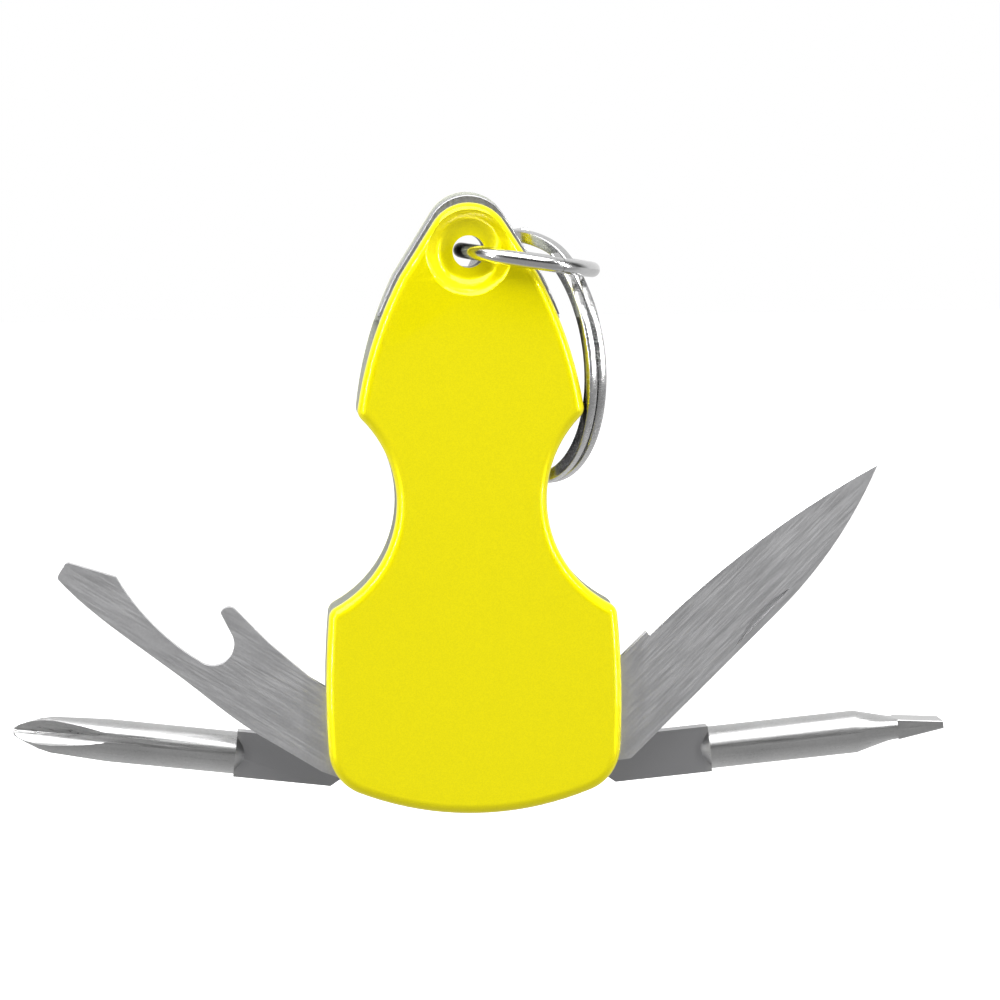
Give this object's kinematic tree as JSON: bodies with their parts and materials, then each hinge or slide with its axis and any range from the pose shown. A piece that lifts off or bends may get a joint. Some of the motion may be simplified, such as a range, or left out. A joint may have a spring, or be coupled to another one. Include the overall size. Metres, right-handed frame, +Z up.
{
  "type": "folding key-chain multi-tool",
  "caption": "Pocket multi-tool with a violin-shaped handle of two covers, a folding knife blade, bottle opener and screwdrivers, and a jump ring with a split key ring.",
  "frame": {"origin": "middle of the handle, halfway between its nose and tail and between its two faces, where the fingers hold it", "axes": "+X to the knife's side, +Y from the front cover to the back cover, +Z up the handle to the nose"},
  "size_m": [0.0876, 0.0248, 0.0579],
  "materials": {
    "cover": "yellow anodised, satin gloss",
    "frame_steel": "brushed",
    "blade_steel": "fine satin",
    "driver_steel": "polished",
    "pin_steel": "turned",
    "jump_wire": "bright nickel plate",
    "ring_wire": "satin nickel plate"
  },
  "bodies": {
    "handle": {"front_cover": "cover", "back_cover": "cover", "divider_plate": "frame_steel", "front_liner": "frame_steel", "back_liner": "frame_steel", "nose_block": "frame_steel", "front_tail_spacer": "frame_steel", "back_tail_spacer": "frame_steel", "front_spring": "frame_steel", "back_spring": "frame_steel", "left_pivot_pin": "pin_steel", "right_pivot_pin": "pin_steel", "frame_rivets": "pin_steel", "driver_washers": "pin_steel", "spring_washers": "pin_steel", "knife_washer": "pin_steel"},
    "knife": {"knife_blade": "blade_steel"},
    "opener": {"bottle_opener": "blade_steel"},
    "phillips": {"phillips_driver": "driver_steel"},
    "slotted": {"slotted_driver": "driver_steel"},
    "jump": {"jump_ring": "jump_wire"},
    "split": {"split_ring": "ring_wire"}
  },
  "joints": [
    {"name": "knife_pivot", "type": "hinge", "parent": "handle", "child": "knife", "pos_m": [0.0105, 0, -0.0231], "axis": [0, 1, 0], "range_deg": [-34, 128.2]},
    {"name": "opener_pivot", "type": "hinge", "parent": "handle", "child": "opener", "pos_m": [-0.0105, 0, -0.0231], "axis": [0, -1, 0], "range_deg": [-64.6, 115.4]},
    {"name": "phillips_pivot", "type": "hinge", "parent": "handle", "child": "phillips", "pos_m": [-0.0105, 0, -0.0231], "axis": [0, -1, 0], "range_deg": [-89.4, 90.6]},
    {"name": "slotted_pivot", "type": "hinge", "parent": "handle", "child": "slotted", "pos_m": [0.0105, 0, -0.0231], "axis": [0, 1, 0], "range_deg": [-76, 89.3]},
    {"name": "jump_ring_swing", "type": "hinge", "parent": "handle", "child": "jump", "pos_m": [0, 0, 0.02395], "axis": [0, -1, 0], "range_deg": [0, 160]},
    {"name": "split_ring_turn", "type": "hinge", "parent": "jump", "child": "split", "pos_m": [0.0061, 0.00666, 0.01376], "axis": [-0.8773, -0.4724, -0.0854], "continuous": true}
  ]
}
